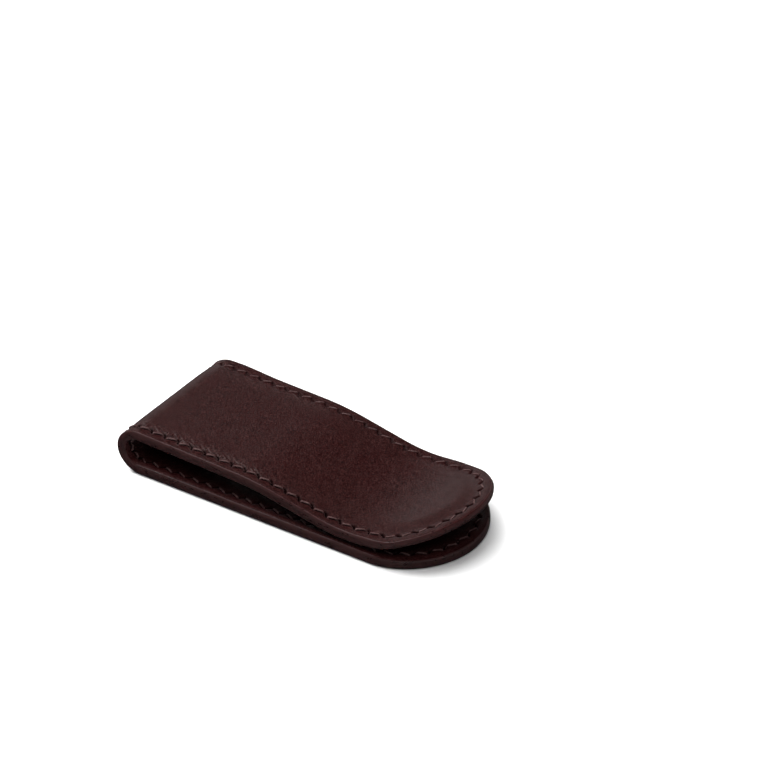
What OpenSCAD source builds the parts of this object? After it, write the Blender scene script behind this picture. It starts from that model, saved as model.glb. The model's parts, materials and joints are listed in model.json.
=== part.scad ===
// Folding money clip: a U-shaped flat spring sewn between two layers of leather.
// The back leaf lies flat on z = 0, the bend is at -X and the kicked-up tip is at +X.

/* [Strap] */
// Width of the strap over its painted edges
strap_w = 27; // [24:0.5:30]
// Outer radius of the bend, half the height of the folded end
bend_r = 4.4; // [4.3:0.1:4.8]
// Thickness of the outer cover
cover_t = 1.1; // [1:0.05:1.15]
// Thickness of the lining
lining_t = 1.1; // [1:0.05:1.15]
// Flat length of the back leaf, from the centre of the bend to its tip
back_len = 58.5; // [50:0.5:62]

/* [Front leaf] */
// Gap between the leaves where they pinch
pinch_gap = 0.45; // [0.3:0.05:0.8]
// Straight run that leaves the bend
lead_len = 19.5; // [16:0.5:22]
// Fall of that run, in degrees
lead_drop = 2; // [1:0.5:3]
// Radius that turns the leaf down towards the pinch
dip_r = 48.5; // [40:0.5:50]
// Steepest fall on the way to the pinch, in degrees
dip_drop = 11.8; // [11:0.2:13]
// Radius that turns the leaf up again at the pinch
lift_r = 26.6; // [24:0.2:28]
// Rise of the kicked-up tip, in degrees
tip_rise = 18.8; // [12:0.2:22]
// Straight run of the tip
tip_run = 8.9; // [7:0.1:11]

/* [Rounded ends] */
// How much shorter the rounded end is than half the width of the strap
end_flat = 0.9; // [0.3:0.1:1.5]
// Distance from the middle of the strap to the centre of each side radius
end_side_y = 2.5; // [2:0.1:4]

/* [Spring core] */
// Thickness of the spring steel
core_t = 0.5; // [0.3:0.05:0.6]
// Margin between the edge of the spring and the edge of the strap
core_margin = 4; // [3.5:0.25:6]

/* [Stitching] */
// Distance from the edge of the strap to the line of stitches
stitch_in = 1.8; // [1.6:0.1:2.2]
// Length of one stitch
stitch_pitch = 2.75; // [2.4:0.05:3.4]
// Diameter of the thread
thread_d = 0.4; // [0.3:0.05:0.45]
// Width of the groove that the thread lies in
groove_w = 0.6; // [0.55:0.05:0.8]
// Depth of that groove
groove_depth = 0.45; // [0.45:0.01:0.5]

/* [Edge] */
// Thickness of the paint on the cut edge
paint_t = 0.12; // [0.1:0.01:0.2]

/* [Hidden] */
$fn = 64;

leather_color = [0.24, 0.14, 0.14];
lining_color = [0.21, 0.12, 0.12];
steel_color = [0.6, 0.61, 0.63];
thread_color = [0.34, 0.22, 0.21];
paint_color = [0.11, 0.06, 0.06];

// Layers, as depths below the outer surface of the strap
strap_t = cover_t + lining_t;
core_top = cover_t - core_t / 2;
core_bottom = cover_t + core_t / 2;
thread_sink = groove_depth / 2;
thread_gap = 0.05;      // between the surface and the thread, and where two threads meet
row_end_gap = 0.35;     // from the end of a leaf to its first stitch hole
over = 1;               // how far a cutting shape runs past what it cuts
over_angle = 2;         // the same round the bend, in degrees
arc_step = 4;           // degrees between the points of a rounded end
side_arc_step = 2;      // degrees between the points of the front leaf's side view
rod_sides = 6;          // sides of a straight thread
round_sides = 16;       // sides of a thread round the bend

// Outline of a rounded end: two side arcs and one crown arc, all tangent
half_w = strap_w / 2;
end_len = half_w - end_flat;
side_r = half_w - end_side_y;
crown_r = (end_len * end_len + end_side_y * end_side_y - side_r * side_r)
    / (2 * (end_len - side_r));
join_a = atan2(end_side_y, crown_r - end_len);
join_steps = ceil((90 - join_a) / arc_step);
crown_steps = ceil(2 * join_a / arc_step);

function arc_length(r, degrees) = r * degrees * PI / 180;
function tangent(h) = [cos(h), sin(h)];
function normal(h) = [-sin(h), cos(h)];

// Side view of the front leaf's outer surface: run, arc down, run, arc up, run.
// The pinch height fixes the length of the middle run.
pinch_z = 2 * strap_t + pinch_gap;
lead_from = bend_r * normal(-lead_drop) + [0, bend_r];
lead_to = lead_from + lead_len * tangent(-lead_drop);
dip_centre = lead_to - dip_r * normal(-lead_drop);
slope_from = dip_centre + dip_r * normal(-dip_drop);
slope_len = (slope_from[1] - pinch_z - lift_r * (1 - cos(dip_drop))) / sin(dip_drop);
slope_to = slope_from + slope_len * tangent(-dip_drop);
lift_centre = slope_to + lift_r * normal(-dip_drop);
tip_from = lift_centre - lift_r * normal(tip_rise);
tip_to = tip_from + tip_run * tangent(tip_rise);

// Distances along that surface at which one stretch ends and the next begins
s_dip = lead_len;
s_slope = s_dip + arc_length(dip_r, dip_drop - lead_drop);
s_lift = s_slope + slope_len;
s_tip = s_lift + arc_length(lift_r, dip_drop + tip_rise);
front_len = s_tip + tip_run;

// The frame's origin is under the middle of the folded clip
clip_end = max(back_len, tip_to[0] + strap_t * sin(tip_rise));
origin_x = (clip_end - bend_r) / 2;

// Heading of the front leaf's surface, and its place [x, z], at distance s
function front_heading(s) =
    s < s_dip ? -lead_drop
    : s < s_slope ? -lead_drop - (s - s_dip) / arc_length(dip_r, 1)
    : s < s_lift ? -dip_drop
    : s < s_tip ? -dip_drop + (s - s_lift) / arc_length(lift_r, 1)
    : tip_rise;
function front_place(s, h) =
    s < s_dip ? lead_from + s * tangent(h)
    : s < s_slope ? dip_centre + dip_r * normal(h)
    : s < s_lift ? slope_from + (s - s_slope) * tangent(h)
    : s < s_tip ? lift_centre - lift_r * normal(h)
    : tip_from + (s - s_tip) * tangent(h);

// Distances at which the side view has a point: close together on its two arcs
dip_steps = ceil((dip_drop - lead_drop) / side_arc_step);
lift_steps = ceil((dip_drop + tip_rise) / side_arc_step);
side_steps = concat(
    [0],
    [for (i = [0 : dip_steps]) s_dip + i * (s_slope - s_dip) / dip_steps],
    [for (i = [0 : lift_steps]) s_lift + i * (s_tip - s_lift) / lift_steps],
    [front_len + over]
);

// A point at distance s along a leaf, y across it and depth d below its outer surface
function front_point(s, y, d) =
    let (h = front_heading(s), p = front_place(s, h) - d * normal(h)) [p[0], y, p[1]];
function back_point(s, y, d) = [s, y, d];

// Stitch line of a leaf of length len, as [s, y] at distance u from the bend
stitch_y = half_w - stitch_in;
side_len = arc_length(side_r - stitch_in, 90 - join_a);
crown_len = arc_length(crown_r - stitch_in, 2 * join_a);
function row_length(len) = 2 * (len - end_len + side_len) + crown_len;
function row_half(u, len) =
    u < len - end_len ? [u, -stitch_y]
    : u < len - end_len + side_len
        ? let (a = -90 + (u - len + end_len) / arc_length(side_r - stitch_in, 1))
            [len - end_len, -end_side_y] + (side_r - stitch_in) * tangent(a)
        : let (a = -join_a + (u - len + end_len - side_len) / arc_length(crown_r - stitch_in, 1))
            [len - crown_r, 0] + (crown_r - stitch_in) * tangent(a);
function row_point(u, len) =
    u <= row_length(len) / 2
        ? row_half(u, len)
        : let (p = row_half(row_length(len) - u, len)) [p[0], -p[1]];
function row_holes(len) =
    let (span = row_length(len) - 2 * row_end_gap, n = round(span / stitch_pitch))
        [for (i = [0 : n]) row_point(row_end_gap + i * span / n, len)];

// Stitches of the bend, by the angle round its centre
bend_from = 90 - lead_drop;
bend_to = 270;
bend_gap = row_end_gap / arc_length(bend_r, 1);
bend_stitches = round(arc_length(bend_r, bend_to - bend_from) / stitch_pitch);
bend_pitch = (bend_to - bend_from - 2 * bend_gap) / bend_stitches;

module place() {
    translate([-origin_x, 0, 0]) children();
}

// A ring sector about an axis along Y, between two radii and two angles
module ring(centre, r0, r1, a0, a1, w) {
    translate([centre[0], 0, centre[1]])
        rotate([90, 0, 0])
            rotate([0, 0, a0])
                rotate_extrude(angle = a1 - a0)
                    translate([r0, -w / 2])
                        square([r1 - r0, w]);
}

// The front leaf's side view between depths d0 and d1, drawn wider than the strap
module front_strip(d0, d1) {
    from = [for (s = side_steps) front_point(s, 0, d0)];
    to = [for (i = [len(side_steps) - 1 : -1 : 0]) front_point(side_steps[i], 0, d1)];
    rotate([90, 0, 0])
        linear_extrude(strap_w + 2 * over, center = true)
            polygon([for (p = concat(from, to)) [p[0], p[2]]]);
}

// Plan outline of a leaf with its tip at the origin, drawn inset from its edge
module end_outline(inset, len) {
    side_step = (90 - join_a) / join_steps;
    crown_step = 2 * join_a / crown_steps;
    side_arc = [for (i = [0 : join_steps])
        [-end_len, -end_side_y] + (side_r - inset) * tangent(i * side_step - 90)];
    crown_arc = [for (i = [1 : crown_steps - 1])
        [-crown_r, 0] + (crown_r - inset) * tangent(i * crown_step - join_a)];
    polygon(concat(
        [[-len, -half_w + inset]],
        side_arc,
        crown_arc,
        [for (i = [join_steps : -1 : 0]) [side_arc[i][0], -side_arc[i][1]]],
        [[-len, half_w - inset]]
    ));
}

// Outline of the band between two insets, open at the end away from the tip
module band_outline(outer_inset, inner_inset, len) {
    difference() {
        end_outline(outer_inset, len);
        end_outline(inner_inset, len + over);
    }
}

// Lays an outline drawn from the tip back on the front leaf, between depths d0 and d1
module front_cut(d0, d1) {
    intersection() {
        front_strip(d0, d1);
        translate([tip_to[0], 0, tip_to[1]])
            rotate([0, -tip_rise, 0])
                linear_extrude(2 * front_len, center = true)
                    children();
    }
}

// The same on the back leaf
module back_cut(d0, d1) {
    translate([back_len, 0, d0])
        linear_extrude(d1 - d0)
            children();
}

// A layer of each stretch of the strap, between depths d0 and d1, inset from the edge
module front_layer(d0, d1, inset) {
    front_cut(d0, d1) end_outline(inset, 2 * front_len);
}

module bend_layer(d0, d1, inset) {
    ring([0, bend_r], bend_r - d1, bend_r - d0, bend_from, bend_to, strap_w - 2 * inset);
}

module back_layer(d0, d1, inset) {
    back_cut(d0, d1) end_outline(inset, back_len);
}

// The spring in each stretch
module front_core() front_layer(core_top, core_bottom, core_margin);
module bend_core() bend_layer(core_top, core_bottom, core_margin);
module back_core() back_layer(core_top, core_bottom, core_margin);

// The groove that a thread lies in: d0 and d1 reach past the leather's surface
groove_out = stitch_in - groove_w / 2;
groove_in = stitch_in + groove_w / 2;

module front_groove(d0, d1) {
    front_cut(d0, d1) band_outline(groove_out, groove_in, 2 * front_len);
}

module bend_groove(d0, d1) {
    for (side = [-1, 1]) {
        translate([0, side * stitch_y, 0])
            ring(
                [0, bend_r], bend_r - d1, bend_r - d0,
                bend_from - over_angle, bend_to + over_angle, groove_w
            );
    }
}

module back_groove(d0, d1) {
    back_cut(d0, d1) band_outline(groove_out, groove_in, back_len + over);
}

cover_groove = [-over, groove_depth];
lining_groove = [strap_t - groove_depth, strap_t + over];

// A thread between two points
module rod(a, b, d) {
    v = b - a;
    translate(a)
        rotate([0, acos(v[2] / norm(v)), atan2(v[1], v[0])])
            cylinder(h = norm(v), d = d, $fn = rod_sides);
}

// One thread of a leaf: a rod along each stitch and a leg down into each hole.
// at[i] gives hole i at the thread's own depth, deep[i] at the end of its leg.
module thread_row(at, deep) {
    for (i = [0 : len(at) - 2]) {
        step = (at[i + 1] - at[i]) / norm(at[i + 1] - at[i]);
        rod(at[i] + thread_gap * step, at[i + 1] - thread_gap * step, thread_d);
    }
    for (i = [0 : len(at) - 1]) {
        up = (at[i] - deep[i]) / norm(at[i] - deep[i]);
        rod(deep[i], at[i] + (thread_d / 2) * up, thread_d + thread_gap);
    }
}

module front_thread(d_row, d_end) {
    holes = row_holes(front_len);
    thread_row(
        [for (p = holes) front_point(p[0], p[1], d_row)],
        [for (p = holes) front_point(p[0], p[1], d_end)]
    );
}

module back_thread(d_row, d_end) {
    holes = row_holes(back_len);
    thread_row(
        [for (p = holes) back_point(p[0], p[1], d_row)],
        [for (p = holes) back_point(p[0], p[1], d_end)]
    );
}

// One thread of the bend, on both of its edges
module bend_thread(d_row, d_end) {
    row_r = bend_r - d_row;
    end_r = bend_r - d_end;
    leg_from = min(end_r, row_r - thread_d / 2);
    leg_len = abs(row_r - end_r) + thread_d / 2;
    for (side = [-1, 1]) {
        translate([0, side * stitch_y, bend_r])
            rotate([90, 0, 0]) {
                rotate([0, 0, bend_from + bend_gap])
                    rotate_extrude(angle = bend_to - bend_from - 2 * bend_gap)
                        translate([row_r, 0])
                            circle(d = thread_d, $fn = round_sides);
                for (i = [0 : bend_stitches]) {
                    rotate([0, 0, bend_from + bend_gap + i * bend_pitch])
                        translate([leg_from, 0, 0])
                            rotate([0, 90, 0])
                                cylinder(h = leg_len, d = thread_d + thread_gap, $fn = round_sides);
                }
            }
    }
}

// The threads cross in the middle of the strap
needle_row = thread_sink;
needle_end = cover_t - thread_gap / 2;
bobbin_row = strap_t - thread_sink;
bobbin_end = cover_t + thread_gap / 2;

module outer_cover_front() {
    color(leather_color) place() difference() {
        front_layer(0, cover_t, paint_t);
        front_core();
        front_groove(cover_groove[0], cover_groove[1]);
    }
}

module outer_cover_bend() {
    color(leather_color) place() difference() {
        bend_layer(0, cover_t, paint_t);
        bend_core();
        bend_groove(cover_groove[0], cover_groove[1]);
    }
}

module outer_cover_back() {
    color(leather_color) place() difference() {
        back_layer(0, cover_t, paint_t);
        back_core();
        back_groove(cover_groove[0], cover_groove[1]);
    }
}

module lining_front() {
    color(lining_color) place() difference() {
        front_layer(cover_t, strap_t, paint_t);
        front_core();
        front_groove(lining_groove[0], lining_groove[1]);
    }
}

module lining_bend() {
    color(lining_color) place() difference() {
        bend_layer(cover_t, strap_t, paint_t);
        bend_core();
        bend_groove(lining_groove[0], lining_groove[1]);
    }
}

module lining_back() {
    color(lining_color) place() difference() {
        back_layer(cover_t, strap_t, paint_t);
        back_core();
        back_groove(lining_groove[0], lining_groove[1]);
    }
}

module spring_core_front() color(steel_color) place() front_core();
module spring_core_bend() color(steel_color) place() bend_core();
module spring_core_back() color(steel_color) place() back_core();

module needle_thread_front() color(thread_color) place() front_thread(needle_row, needle_end);
module needle_thread_bend() color(thread_color) place() bend_thread(needle_row, needle_end);
module needle_thread_back() color(thread_color) place() back_thread(needle_row, needle_end);

module bobbin_thread_front() color(thread_color) place() front_thread(bobbin_row, bobbin_end);
module bobbin_thread_bend() color(thread_color) place() bend_thread(bobbin_row, bobbin_end);
module bobbin_thread_back() color(thread_color) place() back_thread(bobbin_row, bobbin_end);

module edge_paint_front() {
    color(paint_color) place()
        front_cut(0, strap_t)
            band_outline(0, paint_t, 2 * front_len);
}

module edge_paint_bend() {
    color(paint_color) place()
        for (side = [-1, 1]) {
            translate([0, side * (half_w - paint_t / 2), 0])
                ring([0, bend_r], bend_r - strap_t, bend_r, bend_from, bend_to, paint_t);
        }
}

module edge_paint_back() {
    color(paint_color) place()
        back_cut(0, strap_t)
            band_outline(0, paint_t, back_len);
}

outer_cover_front();
outer_cover_bend();
outer_cover_back();
lining_front();
lining_bend();
lining_back();
spring_core_front();
spring_core_bend();
spring_core_back();
needle_thread_front();
needle_thread_bend();
needle_thread_back();
bobbin_thread_front();
bobbin_thread_bend();
bobbin_thread_back();
edge_paint_front();
edge_paint_bend();
edge_paint_back();
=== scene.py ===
"""Looks for a leather money clip: a sewn strap of two leathers over a bent spring.

The strap is drawn flat and laid on its folded side view. A point of it has three numbers in mm:
s along the outer surface (0 where the front leaf leaves the bend, negative round the bend and
on the back leaf), y across it, and depth d below its outer surface.
"""

import json
import math

import bmesh
import bpy
import numpy as np
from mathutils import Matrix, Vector


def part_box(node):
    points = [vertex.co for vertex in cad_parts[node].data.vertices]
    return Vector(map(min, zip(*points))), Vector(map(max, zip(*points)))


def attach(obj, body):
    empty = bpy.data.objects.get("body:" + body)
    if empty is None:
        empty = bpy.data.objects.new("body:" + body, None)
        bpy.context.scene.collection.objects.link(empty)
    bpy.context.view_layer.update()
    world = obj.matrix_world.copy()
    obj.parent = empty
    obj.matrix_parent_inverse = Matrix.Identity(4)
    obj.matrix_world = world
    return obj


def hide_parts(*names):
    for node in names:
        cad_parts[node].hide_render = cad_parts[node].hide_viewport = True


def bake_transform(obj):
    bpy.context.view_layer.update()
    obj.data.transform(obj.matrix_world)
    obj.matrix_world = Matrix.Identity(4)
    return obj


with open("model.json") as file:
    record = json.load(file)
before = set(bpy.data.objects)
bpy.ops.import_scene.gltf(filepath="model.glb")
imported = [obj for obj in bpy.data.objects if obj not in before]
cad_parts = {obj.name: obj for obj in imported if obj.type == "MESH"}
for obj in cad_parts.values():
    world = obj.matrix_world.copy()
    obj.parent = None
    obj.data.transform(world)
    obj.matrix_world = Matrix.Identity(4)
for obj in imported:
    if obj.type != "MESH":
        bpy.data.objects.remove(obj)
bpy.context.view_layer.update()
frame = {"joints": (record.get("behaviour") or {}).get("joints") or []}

MM = 0.001

# ---------------------------------------------------------------- sizes from the frame, in mm
hinge = np.array(frame["joints"][0]["pos_m"]) / MM
bend_r = hinge[2]
half_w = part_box("edge_paint_back")[1].y / MM
back_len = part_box("edge_paint_back")[1].x / MM - hinge[0]
strap_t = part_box("lining_back")[1].z / MM
cover_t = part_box("outer_cover_back")[1].z / MM
core_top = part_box("spring_core_back")[0].z / MM
core_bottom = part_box("spring_core_back")[1].z / MM
core_margin = half_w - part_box("spring_core_back")[1].y / MM

# ---------------------------------------------------------------- the side view, as in the CAD
PINCH_GAP = 0.45
LEAD_LEN = 19.5
LEAD_DROP = math.radians(2)
DIP_R = 48.5
DIP_DROP = math.radians(11.8)
LIFT_R = 26.6
TIP_RISE = math.radians(18.8)
TIP_RUN = 8.9
END_LEN = 12.6
END_SIDE_R = 11.0
STITCH_IN = 1.8
STITCH_PITCH = 2.72
PAINT_T = 0.12


def tangent(h):
    return np.array([np.cos(h), np.sin(h)])


def normal(h):
    return np.array([-np.sin(h), np.cos(h)])


lead_from = bend_r * normal(-LEAD_DROP) + np.array([0, bend_r])
lead_to = lead_from + LEAD_LEN * tangent(-LEAD_DROP)
dip_centre = lead_to - DIP_R * normal(-LEAD_DROP)
slope_from = dip_centre + DIP_R * normal(-DIP_DROP)
pinch_z = 2 * strap_t + PINCH_GAP
slope_len = (slope_from[1] - pinch_z - LIFT_R * (1 - math.cos(DIP_DROP))) / math.sin(DIP_DROP)
slope_to = slope_from + slope_len * tangent(-DIP_DROP)
lift_centre = slope_to + LIFT_R * normal(-DIP_DROP)
tip_from = lift_centre - LIFT_R * normal(TIP_RISE)

S_DIP = LEAD_LEN
S_SLOPE = S_DIP + DIP_R * (DIP_DROP - LEAD_DROP)
S_LIFT = S_SLOPE + slope_len
S_TIP = S_LIFT + LIFT_R * (DIP_DROP + TIP_RISE)
FRONT_LEN = S_TIP + TIP_RUN
BEND_FROM = math.pi / 2 - LEAD_DROP
BEND_LEN = bend_r * (1.5 * math.pi - BEND_FROM)

# The Blender pieces of the strap part here, on the flat run just past the bend
SEAM_S = 1.6

# The crown of the rounded end: the arc that runs into both side arcs
crown_r = (
    (END_LEN ** 2 + (half_w - END_SIDE_R) ** 2 - END_SIDE_R ** 2) / (2 * (END_LEN - END_SIDE_R))
)
join_a = math.atan2(half_w - END_SIDE_R, crown_r - END_LEN)


def strap_points(s, y, d):
    """Row-frame points in metres of the folded strap at (s, y, d), arrays of one shape."""
    s, y, d = np.broadcast_arrays(np.asarray(s, float), y, d)
    h = np.select(
        [s < S_DIP, s < S_SLOPE, s < S_LIFT, s < S_TIP],
        [
            -LEAD_DROP,
            -LEAD_DROP - (s - S_DIP) / DIP_R,
            -DIP_DROP,
            -DIP_DROP + (s - S_LIFT) / LIFT_R,
        ],
        TIP_RISE,
    )
    along, out = tangent(h), normal(h)
    place = np.empty_like(along)
    for i in (0, 1):
        place[i] = np.select(
            [s < S_DIP, s < S_SLOPE, s < S_LIFT, s < S_TIP],
            [
                lead_from[i] + s * along[i],
                dip_centre[i] + DIP_R * out[i],
                slope_from[i] + (s - S_SLOPE) * along[i],
                lift_centre[i] - LIFT_R * out[i],
            ],
            tip_from[i] + (s - S_TIP) * along[i],
        )
    a = BEND_FROM - s / bend_r
    in_bend = (s < 0) & (s >= -BEND_LEN)
    in_back = s < -BEND_LEN
    out = np.where(in_bend, np.array([np.cos(a), np.sin(a)]), out)
    place = np.where(in_bend, bend_r * out + np.array([0, bend_r]).reshape(2, *[1] * s.ndim), place)
    out[0] = np.where(in_back, 0, out[0])
    out[1] = np.where(in_back, -1, out[1])
    place[0] = np.where(in_back, -s - BEND_LEN, place[0])
    place[1] = np.where(in_back, 0, place[1])
    x = hinge[0] + place[0] - d * out[0]
    z = place[1] - d * out[1]
    return np.stack([x, y, z], -1) * MM


class Leaf:
    """One half of the strap, from the seam to its rounded end. u runs along its stitch line from
    the seam on the -Y edge, round the end, to the seam on the +Y edge. e is the inset from the
    edge. slant is +1 where the seam was sewn towards growing u."""

    def __init__(self, length, direction, slant):
        self.length = length
        self.direction = direction
        self.slant = slant
        self.straight = length - END_LEN
        self.side = (END_SIDE_R - STITCH_IN) * (math.pi / 2 - join_a)
        self.crown = (crown_r - STITCH_IN) * 2 * join_a
        self.total = 2 * (self.straight + self.side) + self.crown
        self.stitches = round(self.total / STITCH_PITCH)
        self.pitch = self.total / self.stitches

    def outline(self, u, e):
        """(q, y) at u along the stitch line and inset e; q is the distance from the seam."""
        u, e = np.broadcast_arrays(np.asarray(u, float), e)
        far = u > self.total / 2
        v = np.where(far, self.total - u, u)
        a_side = -math.pi / 2 + (v - self.straight) / (END_SIDE_R - STITCH_IN)
        a_crown = -join_a + (v - self.straight - self.side) / (crown_r - STITCH_IN)
        on_line = v < self.straight
        on_side = v < self.straight + self.side
        q = np.select(
            [on_line, on_side],
            [v, self.straight + (END_SIDE_R - e) * np.cos(a_side)],
            self.length - crown_r + (crown_r - e) * np.cos(a_crown),
        )
        y = np.select(
            [on_line, on_side],
            [e - half_w, END_SIDE_R - half_w + (END_SIDE_R - e) * np.sin(a_side)],
            (crown_r - e) * np.sin(a_crown),
        )
        return q, np.where(far, -y, y)

    def spine(self, u):
        v = np.minimum(u, self.total - u)
        return np.minimum(v, self.straight)

    def s_of(self, q):
        return SEAM_S + self.direction * q


front = Leaf(FRONT_LEN - SEAM_S, 1, 1)
back = Leaf(BEND_LEN + back_len + SEAM_S, -1, -1)


# ---------------------------------------------------------------- the strap's relief, in mm
def smooth(x):
    x = np.clip(x, 0, 1)
    return x * x * (3 - 2 * x)


def curve_through(points, x):
    """A smooth curve through a few given (x, value) points."""
    px, pv = np.array(points, float).T
    slope = np.gradient(pv, px)
    i = np.clip(np.searchsorted(px, x) - 1, 0, len(px) - 2)
    w = px[i + 1] - px[i]
    t = np.clip((x - px[i]) / w, 0, 1)
    return (
        pv[i] * (1 + 2 * t) * (1 - t) ** 2
        + slope[i] * w * t * (1 - t) ** 2
        + pv[i + 1] * t * t * (3 - 2 * t)
        + slope[i + 1] * w * t * t * (t - 1)
    )


def waves(x, y, scale, seed):
    """Soft noise from -1 to 1: a few seeded sine waves at about one scale in mm."""
    rng = np.random.default_rng(seed)
    total = 0
    for _ in range(9):
        turn, phase, size = rng.uniform((0, 0, 0.6), (math.pi, 2 * math.pi, 1.7))
        k = 2 * math.pi / (scale * size)
        total = total + np.sin(k * (x * math.cos(turn) + y * math.sin(turn)) + phase)
    return total / 4.5


# Depth of the cover's surface by inset: a rolled rim, a lip, the stitch valley, the crown
COVER_PROFILE = [
    (0.0, 0.52), (0.05, 0.37), (0.12, 0.27), (0.2, 0.205), (0.3, 0.16), (0.45, 0.13),
    (0.7, 0.115), (0.95, 0.11), (1.25, 0.13), (1.55, 0.175), (1.85, 0.20), (2.3, 0.185),
    (3.1, 0.12), (4.1, 0.06), (5.2, 0.015), (8.0, 0.0), (14.0, 0.0),
]
LIP_RISE = 0.34         # how far the lip flares out round the bend
LIP_WIDTH = 0.8         # how far in from the edge the flare reaches
FAR_LIP_RISE = 0.30     # the same flare on the far edge, where it peaks just past the bend
FAR_LIP_AT = 3.0
FAR_LIP_LEN = 4.0
BEND_THIN = 0.42        # how much thinner the folded leather is at the end of the bend
BEND_FLAT = 0.7         # share of the cover's relief that is stretched flat there
SLIT_DEPTH = 0.62
SLIT_HALF = 0.62        # half the length of an awl slit
SLIT_WIDTH = 0.19
SLIT_LIP = 0.05         # height of the burr along one side of a slit
FAR_CLOSED = 0.5        # how much shallower the slits on the far edge are, and how much less painted shade they get
THREAD_IN = 0.48        # along the seam, from a hole's middle to the end of its thread
REST_PAST = 1.7         # how far up the bend the underside's stitches still lie low
THREAD_LEAN = 0.38      # how far the ends of a stitch lie off the stitch line
TROUGH = 0.10           # depth of the dent that a stitch presses into the leather
TIP_SINK = 0.44         # how much lower the stitches lie round the front leaf's tip
PUCKER_SKEW = 1.8       # how far along the seam a pucker runs, for each mm across it
PUCKER_DEPTH = 0.014    # along the whole seam
BEND_PUCKER_DEPTH = 0.080   # added to it near the bend
FAR_CREASED = 0.2       # how creased the far edge is, for 1 on the near edge


def bell(x, width):
    return np.exp(-(x / width) ** 2)


def fold_share(s):
    """1 at the end of the bend, falling off round it."""
    return bell(s + BEND_LEN / 2, 0.3 * BEND_LEN)


def lip_flare(s, y, e):
    """How far the rolled edge flares out round the bend, and past it on the far edge."""
    past = bell(s - FAR_LIP_AT, FAR_LIP_LEN) * (y > 0)
    rise = np.maximum(LIP_RISE * fold_share(s), FAR_LIP_RISE * past)
    return rise * (1 - smooth(e / LIP_WIDTH))


def tip_share(s):
    """1 at the front leaf's rounded tip, 0 on its straight stretch."""
    return smooth((s - FRONT_LEN + END_LEN + 2) / 6)


def tip_sink(s, e):
    """How far the seam pulls the border down round the front leaf's tip."""
    return TIP_SINK * tip_share(s) * (smooth((5.4 - e) / 3.0) + 0.3 * smooth((1.6 - e) / 1.5))


def far_share(y):
    """1 on the far edge, whose stitches lie flatter and tighter, 0 on the near edge."""
    return smooth((y + 1) / 5)


def creased_share(y):
    return np.where(y < 0, 1.0, FAR_CREASED)


def seam_band(e):
    """1 over the seam, 0 at the very edge and over the middle of the strap."""
    return smooth((6.0 - e) / 2.0) * smooth(e / 0.6)


def stitch_swing(slant, x):
    """How far a stitch lies off the stitch line, for x from -1 to 1 along it."""
    return slant * THREAD_LEAN * np.clip(x, -1.2, 1.2)


def stitch_relief(leaf, u, e):
    """(extra depth, shade share) of the stitches: the dents they press into the leather, and where
    painted shade darkens the slits and a line beside each thread.
    """
    k = np.floor(u / leaf.pitch)
    v = e - STITCH_IN
    depth = np.zeros(u.shape)
    hollow_shade = np.zeros(u.shape)
    for hole in (k, k + 1):
        du = u - hole * leaf.pitch
        across = (du + leaf.slant * v) / math.sqrt(2)
        along = (v - leaf.slant * du) / math.sqrt(2) - 0.1
        ends = smooth((SLIT_HALF + 0.12 - np.abs(along)) / 0.3)
        pit = bell(across, SLIT_WIDTH) * ends
        lip = bell(leaf.slant * across - 0.38, 0.15) * ends
        soft = np.exp(-(across / 0.42) ** 2 - (along / 0.85) ** 2)
        depth += SLIT_DEPTH * pit + 0.06 * soft - SLIT_LIP * lip
        # painted shade in the slits and in the dent round them
        hollow_shade += 1.5 * pit + 0.3 * soft
    x = (u - (k + 0.5) * leaf.pitch) / (leaf.pitch / 2 - THREAD_IN)
    on_thread = smooth((1.3 - np.abs(x)) / 0.4)
    off_line = v - stitch_swing(leaf.slant, x)
    depth += TROUGH * bell(off_line + 0.06, 0.24) * on_thread
    # a painted shadow along the outboard side of each stitch, towards its sunk end
    sunk = smooth((leaf.slant * x + 0.7) / 0.8)
    hollow_shade += bell(off_line + 0.14, 0.2) * on_thread * sunk
    return depth, np.clip(hollow_shade, 0, 1)


def puckers(leaf, u, e, s, y):
    """(depth, crest share) of the fine creases that run inward from the stitch holes."""
    v = e - STITCH_IN
    turn = 2 * math.pi * (u + PUCKER_SKEW * leaf.slant * v) / leaf.pitch
    wander = 1.3 * waves(s, y, 3.4, 11)
    ridge = np.cos(2 * turn + wander) + 0.4 * np.cos(turn - wander)
    reach = smooth((v - 0.25) / 0.35) * np.exp(-np.clip(v - 0.6, 0, None) / 1.0)
    near_bend = smooth((24 - np.abs(s - 4)) / 13) * creased_share(y)
    patchy = np.clip(0.85 + 0.6 * waves(s, y, 4.5, 12), 0, 1.3)
    strength = patchy * (PUCKER_DEPTH + BEND_PUCKER_DEPTH * near_bend)
    # the crest share places the painted highlights on the crease crests
    crest = smooth((-ridge - 0.62) / 0.3) * reach * smooth(strength / 0.07)
    return ridge * reach * strength, crest


def crinkle_share(s, y, e):
    """Where the grain is crumpled: inboard of the stitches, most by the bend on the near edge."""
    v = e - STITCH_IN
    band = smooth((v + 0.6) / 0.5) * smooth((3.0 - v) / 2.4)
    by_bend = smooth((25 - np.abs(s - 5)) / 15)
    patchy = smooth(0.72 + 0.5 * waves(s, y, 2.2, 14))
    return band * (0.10 + by_bend * creased_share(y)) * patchy


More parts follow.
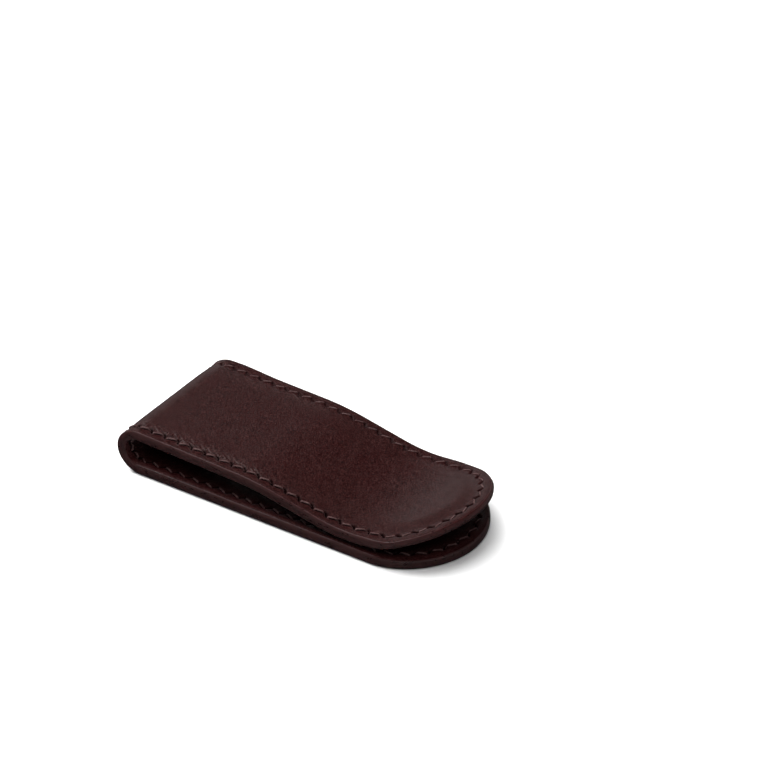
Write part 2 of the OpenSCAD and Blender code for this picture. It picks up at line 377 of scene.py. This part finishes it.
def cover_surface(leaf, u, e, s, y):
    """(depth, shares for the material) of the cover's outer surface."""
    flat = 1 - BEND_FLAT * fold_share(s) * smooth((e - 0.3) / 0.6)
    depth = curve_through(COVER_PROFILE, e) * flat - lip_flare(s, y, e)
    depth = depth + tip_sink(s, e)
    pressed, hollow_shade = stitch_relief(leaf, u, e)
    fade = seam_band(e)
    open_share = 1 - FAR_CLOSED * far_share(y)
    creases, crest = puckers(leaf, u, e, s, y)
    depth = depth + (pressed * open_share + creases) * fade
    depth = depth + 0.010 * waves(s, y, 9.0, 1) * smooth(e / 2.5)
    depth = depth + 0.003 * waves(s, y, 2.6, 2) * smooth(e)
    depth = np.maximum(depth, -LIP_RISE * smooth((s + BEND_LEN) / 2))
    return depth, {
        "hollow_shade": hollow_shade * open_share * fade,
        "crest": crest * fade,
        "crinkle": crinkle_share(s, y, e),
    }


# How far the lining's surface lies inside its nominal depth, by inset
LINING_PROFILE = [
    (0.0, 0.56), (0.05, 0.44), (0.12, 0.35), (0.25, 0.26), (0.45, 0.17), (0.8, 0.11),
    (1.3, 0.13), (1.8, 0.16), (2.4, 0.14), (3.4, 0.07), (4.6, 0.02), (7.0, 0.0), (14.0, 0.0),
]


def lining_surface(leaf, u, e, s, y):
    """(depth, shares for the material) of the lining's surface, inside the fold."""
    rise = curve_through(LINING_PROFILE, e)
    pressed, hollow_shade = stitch_relief(leaf, u, e)
    fade = seam_band(e)
    inner = smooth((s + BEND_LEN + 1) / 2.5) * smooth((1 - s) / 2.5)
    crush = inner * smooth(e / 1.5) * (
        0.05 * np.abs(np.sin(4.2 * s + 1.3 * waves(s * 0.4, y, 5.0, 21)))
        + 0.02 * np.sin(9.5 * s + 1.8 * waves(s * 0.4, y, 3.0, 22))
    )
    creases, crest = puckers(leaf, u, e, s, y)
    rise = rise + (pressed + 0.4 * creases) * fade + crush
    rise = rise + 0.018 * waves(s, y, 7.0, 3) * smooth(e / 2.5)
    depth = strap_t - np.maximum(rise, -0.01) - BEND_THIN * fold_share(s)
    return depth, {"hollow_shade": hollow_shade * fade, "crest": 0.4 * crest * fade, "crinkle": 0.1 * fade}


# ---------------------------------------------------------------- mesh building
def mesh_object(name, verts, faces, attributes=None, weld=2e-6):
    """A mesh of its own, welded and closed; attributes are per-vertex numbers."""
    mesh = bpy.data.meshes.new(name)
    mesh.from_pydata(verts.reshape(-1, 3).tolist(), [], faces.reshape(-1, 4).tolist())
    for key, values in (attributes or {}).items():
        layer = mesh.attributes.new(key, "FLOAT", "POINT")
        layer.data.foreach_set("value", np.asarray(values, np.float32).ravel())
    obj = bpy.data.objects.new(name, mesh)
    bpy.context.scene.collection.objects.link(obj)
    bm = bmesh.new()
    bm.from_mesh(mesh)
    bmesh.ops.remove_doubles(bm, verts=bm.verts, dist=weld)
    bmesh.ops.dissolve_degenerate(bm, edges=bm.edges, dist=weld / 4)
    rim = [edge for edge in bm.edges if edge.is_boundary]
    for edge in rim:
        edge.smooth = False
    if rim:
        caps = bmesh.ops.holes_fill(bm, edges=rim, sides=0)["faces"]
        bmesh.ops.triangulate(bm, faces=caps)
    bmesh.ops.recalc_face_normals(bm, faces=bm.faces)
    for face in bm.faces:
        face.smooth = True
    bm.to_mesh(mesh)
    bm.free()
    return obj


def grid_faces(rows, columns, wrap_columns=False, start=0):
    """The quads between the points of a grid, numbered row by row from start."""
    i = np.arange(rows - 1)[:, None]
    j = np.arange(columns if wrap_columns else columns - 1)[None, :]
    i2, j2 = i + 1, (j + 1) % columns
    quads = [i * columns + j, i2 * columns + j, i2 * columns + j2, i * columns + j2]
    return np.stack(np.broadcast_arrays(*quads), -1).reshape(-1, 4) + start


FAN_FROM = 5.4          # inset where the rows along the edge hand over to the middle


def sheet_columns(inner, fan):
    """Column positions across a surface: insets at the edge, then shares of the way to the spine."""
    return np.concatenate([inner, FAN_FROM + np.asarray(fan, float) * (half_w - FAN_FROM)])


def flat_points(leaf, u, e):
    """(s, y) for rows u and columns e; past FAN_FROM the rows close in on the spine."""
    u, e = np.meshgrid(u, e, indexing="ij")
    q, y = leaf.outline(u, np.minimum(e, FAN_FROM))
    t = np.clip((e - FAN_FROM) / (half_w - FAN_FROM), 0, 1)
    q = q * (1 - t) + leaf.spine(u) * t
    return u, e, leaf.s_of(q), y * (1 - t)


# Insets of the columns over the edge and the seam, and shares of the way on to the spine
FINE = np.concatenate([
    [PAINT_T, 0.17, 0.24, 0.34, 0.5, 0.7, 0.9], np.arange(1.05, 2.75, 0.1),
    [2.85, 3.05, 3.3, 3.6, 4.0, 4.5, 5.0],
])
MIDDLE = [0, 0.1, 0.22, 0.36, 0.52, 0.68, 0.84, 1]
ROW_STEP = 0.115        # between the rows along the seam


def leather(name, leaf, surface, inside, side_to):
    """A closed layer of leather: its shown surface, its cut side, and the face that is glued."""
    rows = 2 * round(leaf.total / ROW_STEP / 2) + 1
    u = np.linspace(0, leaf.total, rows)
    uu, ee, s, y = flat_points(leaf, u, sheet_columns(FINE, MIDDLE)[::-1])
    depth, shares = surface(leaf, uu, ee, s, y)
    shown = strap_points(s, y, depth)
    glued_e = sheet_columns([PAINT_T, 1.0, core_margin - 0.1, core_margin + 0.1, 5.0], [0, 0.5, 1])
    uu, ee, s, y = flat_points(leaf, u, glued_e)
    glued = strap_points(s, y, inside(ee))
    side_e = np.full(3, PAINT_T)
    uu, ee, s, y = flat_points(leaf, u, side_e)
    share = np.array([0.25, 0.55, 0.85])[None, :]
    side = strap_points(s, y, depth[:, -1:] * (1 - share) + side_to * share)
    verts = np.concatenate([shown, side, glued], 1)
    unseen = np.zeros((rows, 3 + len(glued_e)))
    shares = {key: np.concatenate([values, unseen], 1) for key, values in shares.items()}
    return mesh_object(name, verts, grid_faces(rows, verts.shape[1]), shares)


def pocket(surface_side):
    """Depth of a leather's glued face: flat at the edge, stepped where it holds the spring."""
    held = core_top if surface_side == "cover" else core_bottom
    return lambda e: np.where(e < core_margin, cover_t, held)


def closed_band(name, leaf, section, row_step):
    """A ring of (inset, depth) points swept along a leaf's edge; section(leaf, u) gives them."""
    rows = 2 * round(leaf.total / row_step / 2) + 1
    u = np.linspace(0, leaf.total, rows)
    e0, d0 = section(leaf, u)
    uu = np.broadcast_to(u[:, None], e0.shape)
    q, y = leaf.outline(uu, e0)
    verts = strap_points(leaf.s_of(q), y, d0)
    return mesh_object(name, verts, grid_faces(rows, e0.shape[1], wrap_columns=True))


PAINT_STEPS = 9         # points down the painted side
PAINT_BULGE = 0.075
PAINT_GROOVE = 0.055    # the trace of the glue line between the two leathers
PAINT_ROW_STEP = 0.25


def paint_section(leaf, u):
    """The coat of paint: over both rims and down the side, with a trace of the glue line."""
    rim_e = np.array([0.27, 0.21, 0.15, 0.10, 0.05, 0.01])
    uu, ee = np.meshgrid(u, rim_e, indexing="ij")
    q, y = leaf.outline(uu, ee)
    top, _ = cover_surface(leaf, uu, ee, leaf.s_of(q), y)
    low, _ = lining_surface(leaf, uu, ee, leaf.s_of(q), y)
    lift = np.array([-0.02, 0.015, 0.025, 0.025, 0.015, 0.0])[None, :]
    top = top - lift
    low = low + lift
    share = np.linspace(0, 1, PAINT_STEPS)[None, 1:-1]
    side_d = top[:, -1:] * (1 - share) + low[:, -1:] * share
    bulge = PAINT_BULGE * np.sin(math.pi * share) - PAINT_GROOVE * bell(side_d - cover_t, 0.13)
    qs, ys = leaf.outline(uu[:, :1], np.zeros((len(u), 1)))
    rough = 0.012 * waves(leaf.s_of(qs), ys + side_d * 2, 2.2, 41)
    side_e = rough - bulge
    inner_e = np.full((len(u), 2), PAINT_T + 0.05)
    inner_d = np.concatenate([low[:, :1] - 0.2, top[:, :1] + 0.2], 1)
    e = np.concatenate([ee, side_e, ee[:, ::-1], inner_e], 1)
    d = np.concatenate([top, side_d, low[:, ::-1], inner_d], 1)
    return e, d


# ---------------------------------------------------------------- threads
STRANDS = 3
STRAND_R = 0.086
STRAND_ORBIT = 0.08
TWISTS = 1.7            # turns of the ply in one stitch
STATIONS = 23           # points along a strand
SIDES = 7
THREAD_LOW = 0.03       # how proud of the leather a stitch's axis is at its ends
THREAD_CREST = 0.13     # added to it at its middle
UNDER_PROUD = 0.15      # share of that height left under the back leaf, which lies on the floor
TIGHT_DROP = 0.88       # share of it lost on the far edge and round the tip
TIGHT_THIN = 0.28       # how much thinner the thread looks there
DIVE = 0.6              # how far a stitch's ends go down into the slits


def thread(name, leaf, outward):
    """A leaf's stitches: a three-ply thread that comes out of each hole, lies slanted on the
    leather and dives into the next. outward is -1 on the cover, +1 on the lining."""
    rng = np.random.default_rng(len(name))      # a fixed seed
    k = np.arange(leaf.stitches)[:, None]
    tau = np.linspace(0, 1, STATIONS)[None, :]
    jitter = rng.uniform(-1, 1, (len(k), 4))
    reach = leaf.pitch / 2 - THREAD_IN
    x = 2 * tau - 1
    u = (k + 0.5) * leaf.pitch + x * reach
    v = stitch_swing(leaf.slant, x) * (1 + 0.25 * jitter[:, 1:2]) + 0.03 * jitter[:, 2:3]
    q, y = leaf.outline(u, STITCH_IN + v)
    s = leaf.s_of(q)
    if outward < 0:
        floor = curve_through(COVER_PROFILE, STITCH_IN + v) * (1 - BEND_FLAT * fold_share(s))
        floor = floor + tip_sink(s, STITCH_IN + v)
    else:
        floor = strap_t - curve_through(LINING_PROFILE, STITCH_IN + v) - BEND_THIN * fold_share(s)
    onward = leaf.slant * x
    crest = THREAD_CREST * (1 - ((onward + 0.3) / 1.3) ** 2)
    proud = THREAD_LOW + crest * (1 + 0.2 * jitter[:, 3:4])
    tight = np.maximum(far_share(y), tip_share(s))
    proud = proud * np.where(s < REST_PAST - BEND_LEN, UNDER_PROUD, 1 - TIGHT_DROP * tight)
    thin = 1 - TIGHT_THIN * tight
    dive = DIVE * (smooth((-onward - 0.78) / 0.3) + smooth((onward - 0.4) / 0.65))
    depth = floor + outward * (proud - dive)
    line = strap_points(s, y, depth) / MM
    lifted = strap_points(s, y, depth + outward * 0.1) / MM
    forward = np.gradient(line, axis=1)
    forward /= np.linalg.norm(forward, axis=-1, keepdims=True)
    up = lifted - line
    up -= forward * np.sum(up * forward, -1, keepdims=True)
    up /= np.linalg.norm(up, axis=-1, keepdims=True)
    right = np.cross(forward, up)
    verts, faces, start = [], [], 0
    around = np.linspace(0, 2 * math.pi, SIDES, endpoint=False)
    for n in range(len(k)):
        for j in range(STRANDS):
            a = 2 * math.pi * (TWISTS * tau[0] + j / STRANDS) + 3 * jitter[n, 0]
            orbit = STRAND_ORBIT * thin[n][:, None]
            mid = line[n] + orbit * (np.cos(a)[:, None] * right[n] + np.sin(a)[:, None] * up[n])
            ring = (
                mid[:, None, :]
                + thin[n][:, None, None] * STRAND_R * (
                    np.cos(around)[None, :, None] * right[n][:, None, :]
                    + np.sin(around)[None, :, None] * up[n][:, None, :]
                )
            )
            verts.append(ring.reshape(-1, 3))
            faces.append(grid_faces(STATIONS, SIDES, wrap_columns=True, start=start))
            start += STATIONS * SIDES
    return mesh_object(name, np.concatenate(verts) * MM, np.concatenate(faces), weld=1e-9)


# ---------------------------------------------------------------- the spring
SPRING_ROW_STEP = 0.4


def spring(name, leaf):
    """The bent strip of steel, with its sheared edges just rounded."""
    rows = 2 * round(leaf.total / SPRING_ROW_STEP / 2) + 1
    u = np.linspace(0, leaf.total, rows)
    nip = 0.06
    e = sheet_columns([core_margin, core_margin + nip, core_margin + 0.3, 5.0], MIDDLE)
    uu, ee, s, y = flat_points(leaf, u, e[::-1])
    edge = np.where(ee <= core_margin, nip, 0) + 0.02
    top = strap_points(s, y, core_top + edge)
    bottom = strap_points(s, y, core_bottom - edge)[:, ::-1]
    verts = np.concatenate([top, bottom], 1)
    return mesh_object(name, verts, grid_faces(rows, verts.shape[1]))


# ---------------------------------------------------------------- materials
class Nodes:
    """A short way to write a material's node tree."""

    def __init__(self, name):
        self.material = bpy.data.materials.new(name)
        self.material.use_nodes = True
        self.tree = self.material.node_tree
        self.shader = self.tree.nodes["Principled BSDF"]
        self.coords = self.tree.nodes.new("ShaderNodeTexCoord").outputs["Object"]

    def link(self, source, target):
        self.tree.links.new(source, target)

    def add(self, kind, inputs=None, **settings):
        node = self.tree.nodes.new(kind)
        for key, value in settings.items():
            setattr(node, key, value)
        for key, value in (inputs or {}).items():
            if isinstance(value, bpy.types.NodeSocket):
                self.link(value, node.inputs[key])
            else:
                node.inputs[key].default_value = value
        return node

    def noise(self, size_mm, detail=3.0, rough=0.5, vector=None):
        node = self.add("ShaderNodeTexNoise", {
            "Vector": vector or self.coords,
            "Scale": 1 / (size_mm * MM),
            "Detail": detail,
            "Roughness": rough,
        })
        return node.outputs["Fac"]

    def cells(self, size_mm, feature, vector):
        inputs = {"Vector": vector, "Scale": 1 / (size_mm * MM)}
        return self.add("ShaderNodeTexVoronoi", inputs, feature=feature).outputs["Distance"]

    def math(self, operation, a, b):
        return self.add("ShaderNodeMath", {0: a, 1: b}, operation=operation).outputs[0]

    def warped(self, size_mm, reach_mm):
        """The object's coordinates, pushed about by up to half of reach_mm."""
        scale = 1 / (size_mm * MM)
        drift = self.add("ShaderNodeTexNoise", {"Vector": self.coords, "Scale": scale, "Detail": 2.0})
        push = self.add(
            "ShaderNodeVectorMath", {0: drift.outputs["Color"], "Scale": reach_mm * MM},
            operation="SCALE",
        ).outputs[0]
        return self.add("ShaderNodeVectorMath", {0: self.coords, 1: push}, operation="ADD").outputs[0]

    def ramp(self, value, low, high, to_low=0.0, to_high=1.0):
        node = self.add(
            "ShaderNodeMapRange",
            {"Value": value, "From Min": low, "From Max": high, "To Min": to_low, "To Max": to_high},
        )
        return node.outputs["Result"]

    def mix(self, share, a, b):
        node = self.add("ShaderNodeMix", data_type="RGBA")
        for socket, value in ((node.inputs[0], share), (node.inputs[6], a), (node.inputs[7], b)):
            if isinstance(value, bpy.types.NodeSocket):
                self.link(value, socket)
            else:
                socket.default_value = value
        return node.outputs[2]

    def bump(self, height, distance_mm, strength=1.0, under=None):
        inputs = {"Height": height, "Distance": distance_mm * MM, "Strength": strength}
        if under is not None:
            inputs["Normal"] = under
        return self.add("ShaderNodeBump", inputs).outputs["Normal"]

    def set(self, **values):
        for key, value in values.items():
            socket = self.shader.inputs[key.replace("_", " ")]
            if isinstance(value, bpy.types.NodeSocket):
                self.link(value, socket)
            else:
                socket.default_value = value
        return self.material


CREST_HIGHLIGHT = (0.075, 0.050, 0.048, 1)     # painted highlight on the crease crests and on crumpled grain


def leather_material(name, deep, brown, pale, painted_glint, dark, gloss):
    """Smooth calf: small pebbles with fine creases between them, pores and mottled dye, with painted
    highlights as light specks, on the crease crests and on crumpled grain, and painted shade in the
    stitch slits and beside the threads. The mesh says where these painted marks go and where the
    grain is crinkled.
    gloss is the middle roughness."""
    n = Nodes(name)
    warp = n.warped(1.1, 0.35)
    pebble = n.ramp(n.cells(0.46, "DISTANCE_TO_EDGE", warp), 0.0, 0.42)
    small = n.ramp(n.cells(0.24, "DISTANCE_TO_EDGE", warp), 0.0, 0.4)
    pores = n.ramp(n.cells(0.9, "F1", warp), 0.02, 0.10)
    fine = n.noise(0.16, 2.0)
    speckle = n.noise(0.19, 1.5, 0.6)
    mottle = n.noise(1.2, 5.0, 0.7)
    cloud = n.noise(9.0, 3.0, 0.5)
    hollow_shade = n.add("ShaderNodeAttribute", attribute_name="hollow_shade").outputs["Fac"]
    crest = n.add("ShaderNodeAttribute", attribute_name="crest").outputs["Fac"]
    crinkle = n.add("ShaderNodeAttribute", attribute_name="crinkle").outputs["Fac"]
    colour = n.mix(n.ramp(cloud, 0.36, 0.66), deep, brown)
    colour = n.mix(n.ramp(mottle, 0.42, 0.68, 0.0, 0.25), colour, pale)
    # painted highlights: light specks over the grain stand in for the shine of its tiny peaks
    colour = n.mix(n.ramp(speckle, 0.5, 0.62, 0.0, 1.0), colour, painted_glint)
    colour = n.mix(n.ramp(speckle, 0.38, 0.5, 0.9, 0.0), colour, dark)
    colour = n.mix(n.math("MULTIPLY", n.math("SUBTRACT", 1.0, pebble), 0.2), colour, dark)
    # painted highlights: light flecks on crumpled grain and light crease crests stand in for the
    # shine on them
    highlight_flecks = n.math("MULTIPLY", n.ramp(n.noise(0.34, 1.0), 0.56, 0.64), crinkle)
    painted_crest_highlight = n.math("MAXIMUM", n.math("MULTIPLY", crest, 0.6), n.math("MULTIPLY", highlight_flecks, 0.35))
    colour = n.mix(painted_crest_highlight, colour, CREST_HIGHLIGHT)
    # painted shade: the colour goes towards the dark colour in the slits and beside the threads
    colour = n.mix(n.math("MULTIPLY", hollow_shade, 0.92), colour, dark)
    grain = n.math("ADD", n.math("MULTIPLY", pebble, 0.22), n.math("MULTIPLY", small, 0.65))
    grain = n.math("ADD", grain, n.math("MULTIPLY", pores, 0.4))
    grain = n.math("ADD", grain, n.math("MULTIPLY", fine, 0.9))
    folds = n.ramp(n.cells(0.95, "DISTANCE_TO_EDGE", warp), 0.0, 0.5)
    swell = n.bump(folds, 0.18, crinkle, n.bump(n.noise(1.6, 3.0), 0.012))
    rough = n.ramp(mottle, 0.3, 0.7, gloss - 0.05, gloss + 0.06)
    rough = n.math("ADD", rough, n.math("MULTIPLY", hollow_shade, 0.2))
    rough = n.math("SUBTRACT", rough, n.math("MULTIPLY", pebble, 0.05))
    rough = n.math("SUBTRACT", rough, n.math("MULTIPLY", crinkle, 0.08))
    n.shader.inputs["Specular IOR Level"].default_value = 0.25
    return n.set(Base_Color=colour, Roughness=rough, Normal=n.bump(grain, 0.03, under=swell))


def paint_material():
    """Edge paint: several rubbed coats over the fibres of the cut edge."""
    n = Nodes("edge_paint")
    stretched = n.add(
        "ShaderNodeMapping", {"Vector": n.coords, "Scale": (0.25, 1.0, 1.0)},
    ).outputs["Vector"]
    drag = n.noise(0.6, 3.0, 0.6, vector=stretched)
    fibre = n.noise(0.16, 2.0)
    colour = n.mix(n.ramp(drag, 0.35, 0.7), (0.0180, 0.0030, 0.0030, 1), (0.0310, 0.0058, 0.0056, 1))
    height = n.math("ADD", drag, n.math("MULTIPLY", fibre, 0.3))
    n.shader.inputs["Specular IOR Level"].default_value = 1.0
    return n.set(
        Base_Color=colour, Roughness=n.ramp(drag, 0.3, 0.7, 0.26, 0.36), Normal=n.bump(height, 0.007)
    )


def thread_material():
    """Waxed polyester: fine filaments, lighter where the wax has rubbed off."""
    n = Nodes("thread")
    hair = n.noise(0.06, 2.0)
    patch = n.noise(0.8, 2.0)
    colour = n.mix(n.ramp(patch, 0.35, 0.65), (0.068, 0.034, 0.033, 1), (0.118, 0.070, 0.068, 1))
    n.shader.inputs["Specular IOR Level"].default_value = 0.5
    return n.set(
        Base_Color=colour, Roughness=n.ramp(patch, 0.3, 0.7, 0.32, 0.45), Normal=n.bump(hair, 0.02)
    )


def steel_material():
    """Rolled spring steel: lines along the strip and a faint blue-grey temper."""
    n = Nodes("spring_steel")
    stretched = n.add(
        "ShaderNodeMapping", {"Vector": n.coords, "Scale": (0.03, 1.0, 0.03)},
    ).outputs["Vector"]
    lines = n.noise(0.09, 3.0, 0.6, vector=stretched)
    temper = n.noise(6.0, 2.0)
    colour = n.mix(n.ramp(temper, 0.35, 0.65), (0.46, 0.47, 0.50, 1), (0.56, 0.55, 0.53, 1))
    n.shader.inputs["Metallic"].default_value = 1.0
    return n.set(
        Base_Color=colour, Roughness=n.ramp(lines, 0.3, 0.7, 0.24, 0.42), Normal=n.bump(lines, 0.01)
    )


def floor_material():
    n = Nodes("studio_floor")
    paper = n.mix(n.noise(40.0, 3.0), (0.86, 0.86, 0.86, 1), (0.9, 0.9, 0.9, 1))
    return n.set(Base_Color=paper, Roughness=0.9)


cover_leather = leather_material(
    "cover_leather",
    deep=(0.0150, 0.0006, 0.0009, 1),
    brown=(0.0130, 0.0012, 0.0012, 1),
    pale=(0.0160, 0.0020, 0.0020, 1),
    painted_glint=(0.0405, 0.0152, 0.0142, 1),
    dark=(0.0022, 0.0003, 0.0004, 1),
    gloss=0.42,
)
# painted light: the lining gets lighter colours than the cover so that it stays dark red, not black,
# in the shade inside the fold
lining_leather = leather_material(
    "lining_leather",
    deep=(0.0270, 0.0026, 0.0030, 1),
    brown=(0.0240, 0.0040, 0.0038, 1),
    pale=(0.0300, 0.0064, 0.0064, 1),
    painted_glint=(0.0520, 0.0190, 0.0185, 1),
    dark=(0.0050, 0.0008, 0.0008, 1),
    gloss=0.5,
)
edge_paint = paint_material()
waxed_thread = thread_material()
spring_steel = steel_material()


def finish_piece(obj, material, stands_for, on_front):
    """Gives a piece its material, hangs the front pieces on the front leaf's body, fixes the back
    pieces where they lie, and hides the CAD parts it stands for.
    """
    obj.data.materials.append(material)
    if on_front:
        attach(obj, "front_leaf")
    else:
        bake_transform(obj)
    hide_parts(*stands_for)


for leaf, end in ((front, "front"), (back, "back")):
    on_front = leaf is front
    parts = ["front"] if on_front else ["bend", "back"]
    built = {
        "outer_cover": (
            leather(f"cover_leather_{end}", leaf, cover_surface, pocket("cover"), cover_t),
            cover_leather, "outer_leather"),
        "lining": (
            leather(f"lining_leather_{end}", leaf, lining_surface, pocket("lining"), cover_t),
            lining_leather, "lining_leather"),
        "edge_paint": (
            closed_band(f"edge_coat_{end}", leaf, paint_section, PAINT_ROW_STEP),
            edge_paint, "edge_paint"),
        "needle_thread": (
            thread(f"needle_stitches_{end}", leaf, -1), waxed_thread, "thread"),
        "bobbin_thread": (
            thread(f"bobbin_stitches_{end}", leaf, 1), waxed_thread, "thread"),
        "spring_core": (spring(f"spring_strip_{end}", leaf), spring_steel, "spring_steel"),
    }
    for kind, (obj, material, slot) in built.items():
        finish_piece(obj, material, [f"{kind}_{part}" for part in parts], on_front)


# ---------------------------------------------------------------- floor, light and camera
FLOOR_RADIUS = 3.0      # metres
FLOOR_DROP = 0.02 * MM  # below the clip, so that the two faces don't flicker


def studio_floor():
    """White paper that leaves no shine on the object, as if photographed through a polariser."""
    bpy.ops.mesh.primitive_circle_add(
        vertices=96, radius=FLOOR_RADIUS, fill_type="NGON", location=(0, 0, -FLOOR_DROP),
    )
    floor = bpy.context.object
    floor.name = "studio_floor"
    floor.data.materials.append(floor_material())
    floor.visible_glossy = False


def softbox(name, direction, distance, size, power, gloss=True):
    """A rectangular light that faces the object from a direction. Distance and size are in
    metres, power in watts. Without gloss the light leaves no shine on the leather, as if
    cross-polarised."""
    light = bpy.data.lights.new(name, "AREA")
    light.shape = "RECTANGLE"
    light.size, light.size_y = size
    light.energy = power
    obj = bpy.data.objects.new(name, light)
    towards = Vector(direction).normalized()
    obj.location = towards * distance
    obj.rotation_euler = towards.to_track_quat("Z", "Y").to_euler()
    obj.visible_glossy = gloss
    bpy.context.scene.collection.objects.link(obj)


# Heights of a direction (-1 down, 1 up) and the room's brightness at each
UP_FALL = (0.0, 0.65, 0.18, 0.015)
DOWN_FALL = (-0.35, 0.05, 0.2, 1.0)


def studio_world():
    """A dim room, brighter round the horizon than below it and overhead."""
    world = bpy.data.worlds.new("studio")
    world.use_nodes = True
    tree = world.node_tree
    background = tree.nodes["Background"]
    coords = tree.nodes.new("ShaderNodeTexCoord")
    split = tree.nodes.new("ShaderNodeSeparateXYZ")
    glow = tree.nodes.new("ShaderNodeMath")
    glow.operation = "MULTIPLY"
    tree.links.new(coords.outputs["Generated"], split.inputs[0])
    for socket, (low, high, at_low, at_high) in enumerate((UP_FALL, DOWN_FALL)):
        fall = tree.nodes.new("ShaderNodeMapRange")
        fall.interpolation_type = "SMOOTHSTEP"
        fall.inputs["From Min"].default_value = low
        fall.inputs["From Max"].default_value = high
        fall.inputs["To Min"].default_value = at_low
        fall.inputs["To Max"].default_value = at_high
        tree.links.new(split.outputs["Z"], fall.inputs["Value"])
        tree.links.new(fall.outputs["Result"], glow.inputs[socket])
    tree.links.new(glow.outputs[0], background.inputs["Strength"])
    background.inputs["Color"].default_value = (1.0, 1.0, 1.0, 1)
    bpy.context.scene.world = world


# The photographed view: where the middle of the picture falls on the floor, and from where
LOOK_AT = Vector((-6.68, 31.73, 0)) * MM
AZIMUTH = math.radians(33.25)
ELEVATION = math.radians(32.87)
CAMERA_DISTANCE = 536.1 * MM
LENS = 141.1
SENSOR_WIDTH = 36


def studio_camera():
    camera = bpy.data.cameras.new("camera")
    camera.lens = LENS
    camera.sensor_width = SENSOR_WIDTH
    camera.clip_start = 0.01
    camera.clip_end = 20
    obj = bpy.data.objects.new("camera", camera)
    away = Vector((
        math.sin(AZIMUTH) * math.cos(ELEVATION),
        -math.cos(AZIMUTH) * math.cos(ELEVATION),
        math.sin(ELEVATION),
    ))
    obj.location = LOOK_AT + away * CAMERA_DISTANCE
    obj.rotation_euler = away.to_track_quat("Z", "Y").to_euler()
    bpy.context.scene.collection.objects.link(obj)
    bpy.context.scene.camera = obj


studio_floor()
studio_world()
softbox("key", (-0.5, 0.12, 1.0), distance=1.6, size=(1.7, 1.7), power=66, gloss=False)
softbox("fill", (0.5, -0.6, 1.2), distance=2.0, size=(1.4, 0.9), power=15, gloss=False)
softbox("sheen", (-0.86, 0.66, 0.15), distance=1.4, size=(1.2, 0.25), power=1.1)
softbox("rim", (-0.52, -0.12, 0.84), distance=1.2, size=(0.3, 0.9), power=3.4)
studio_camera()
bpy.context.scene.view_settings.view_transform = "Standard"
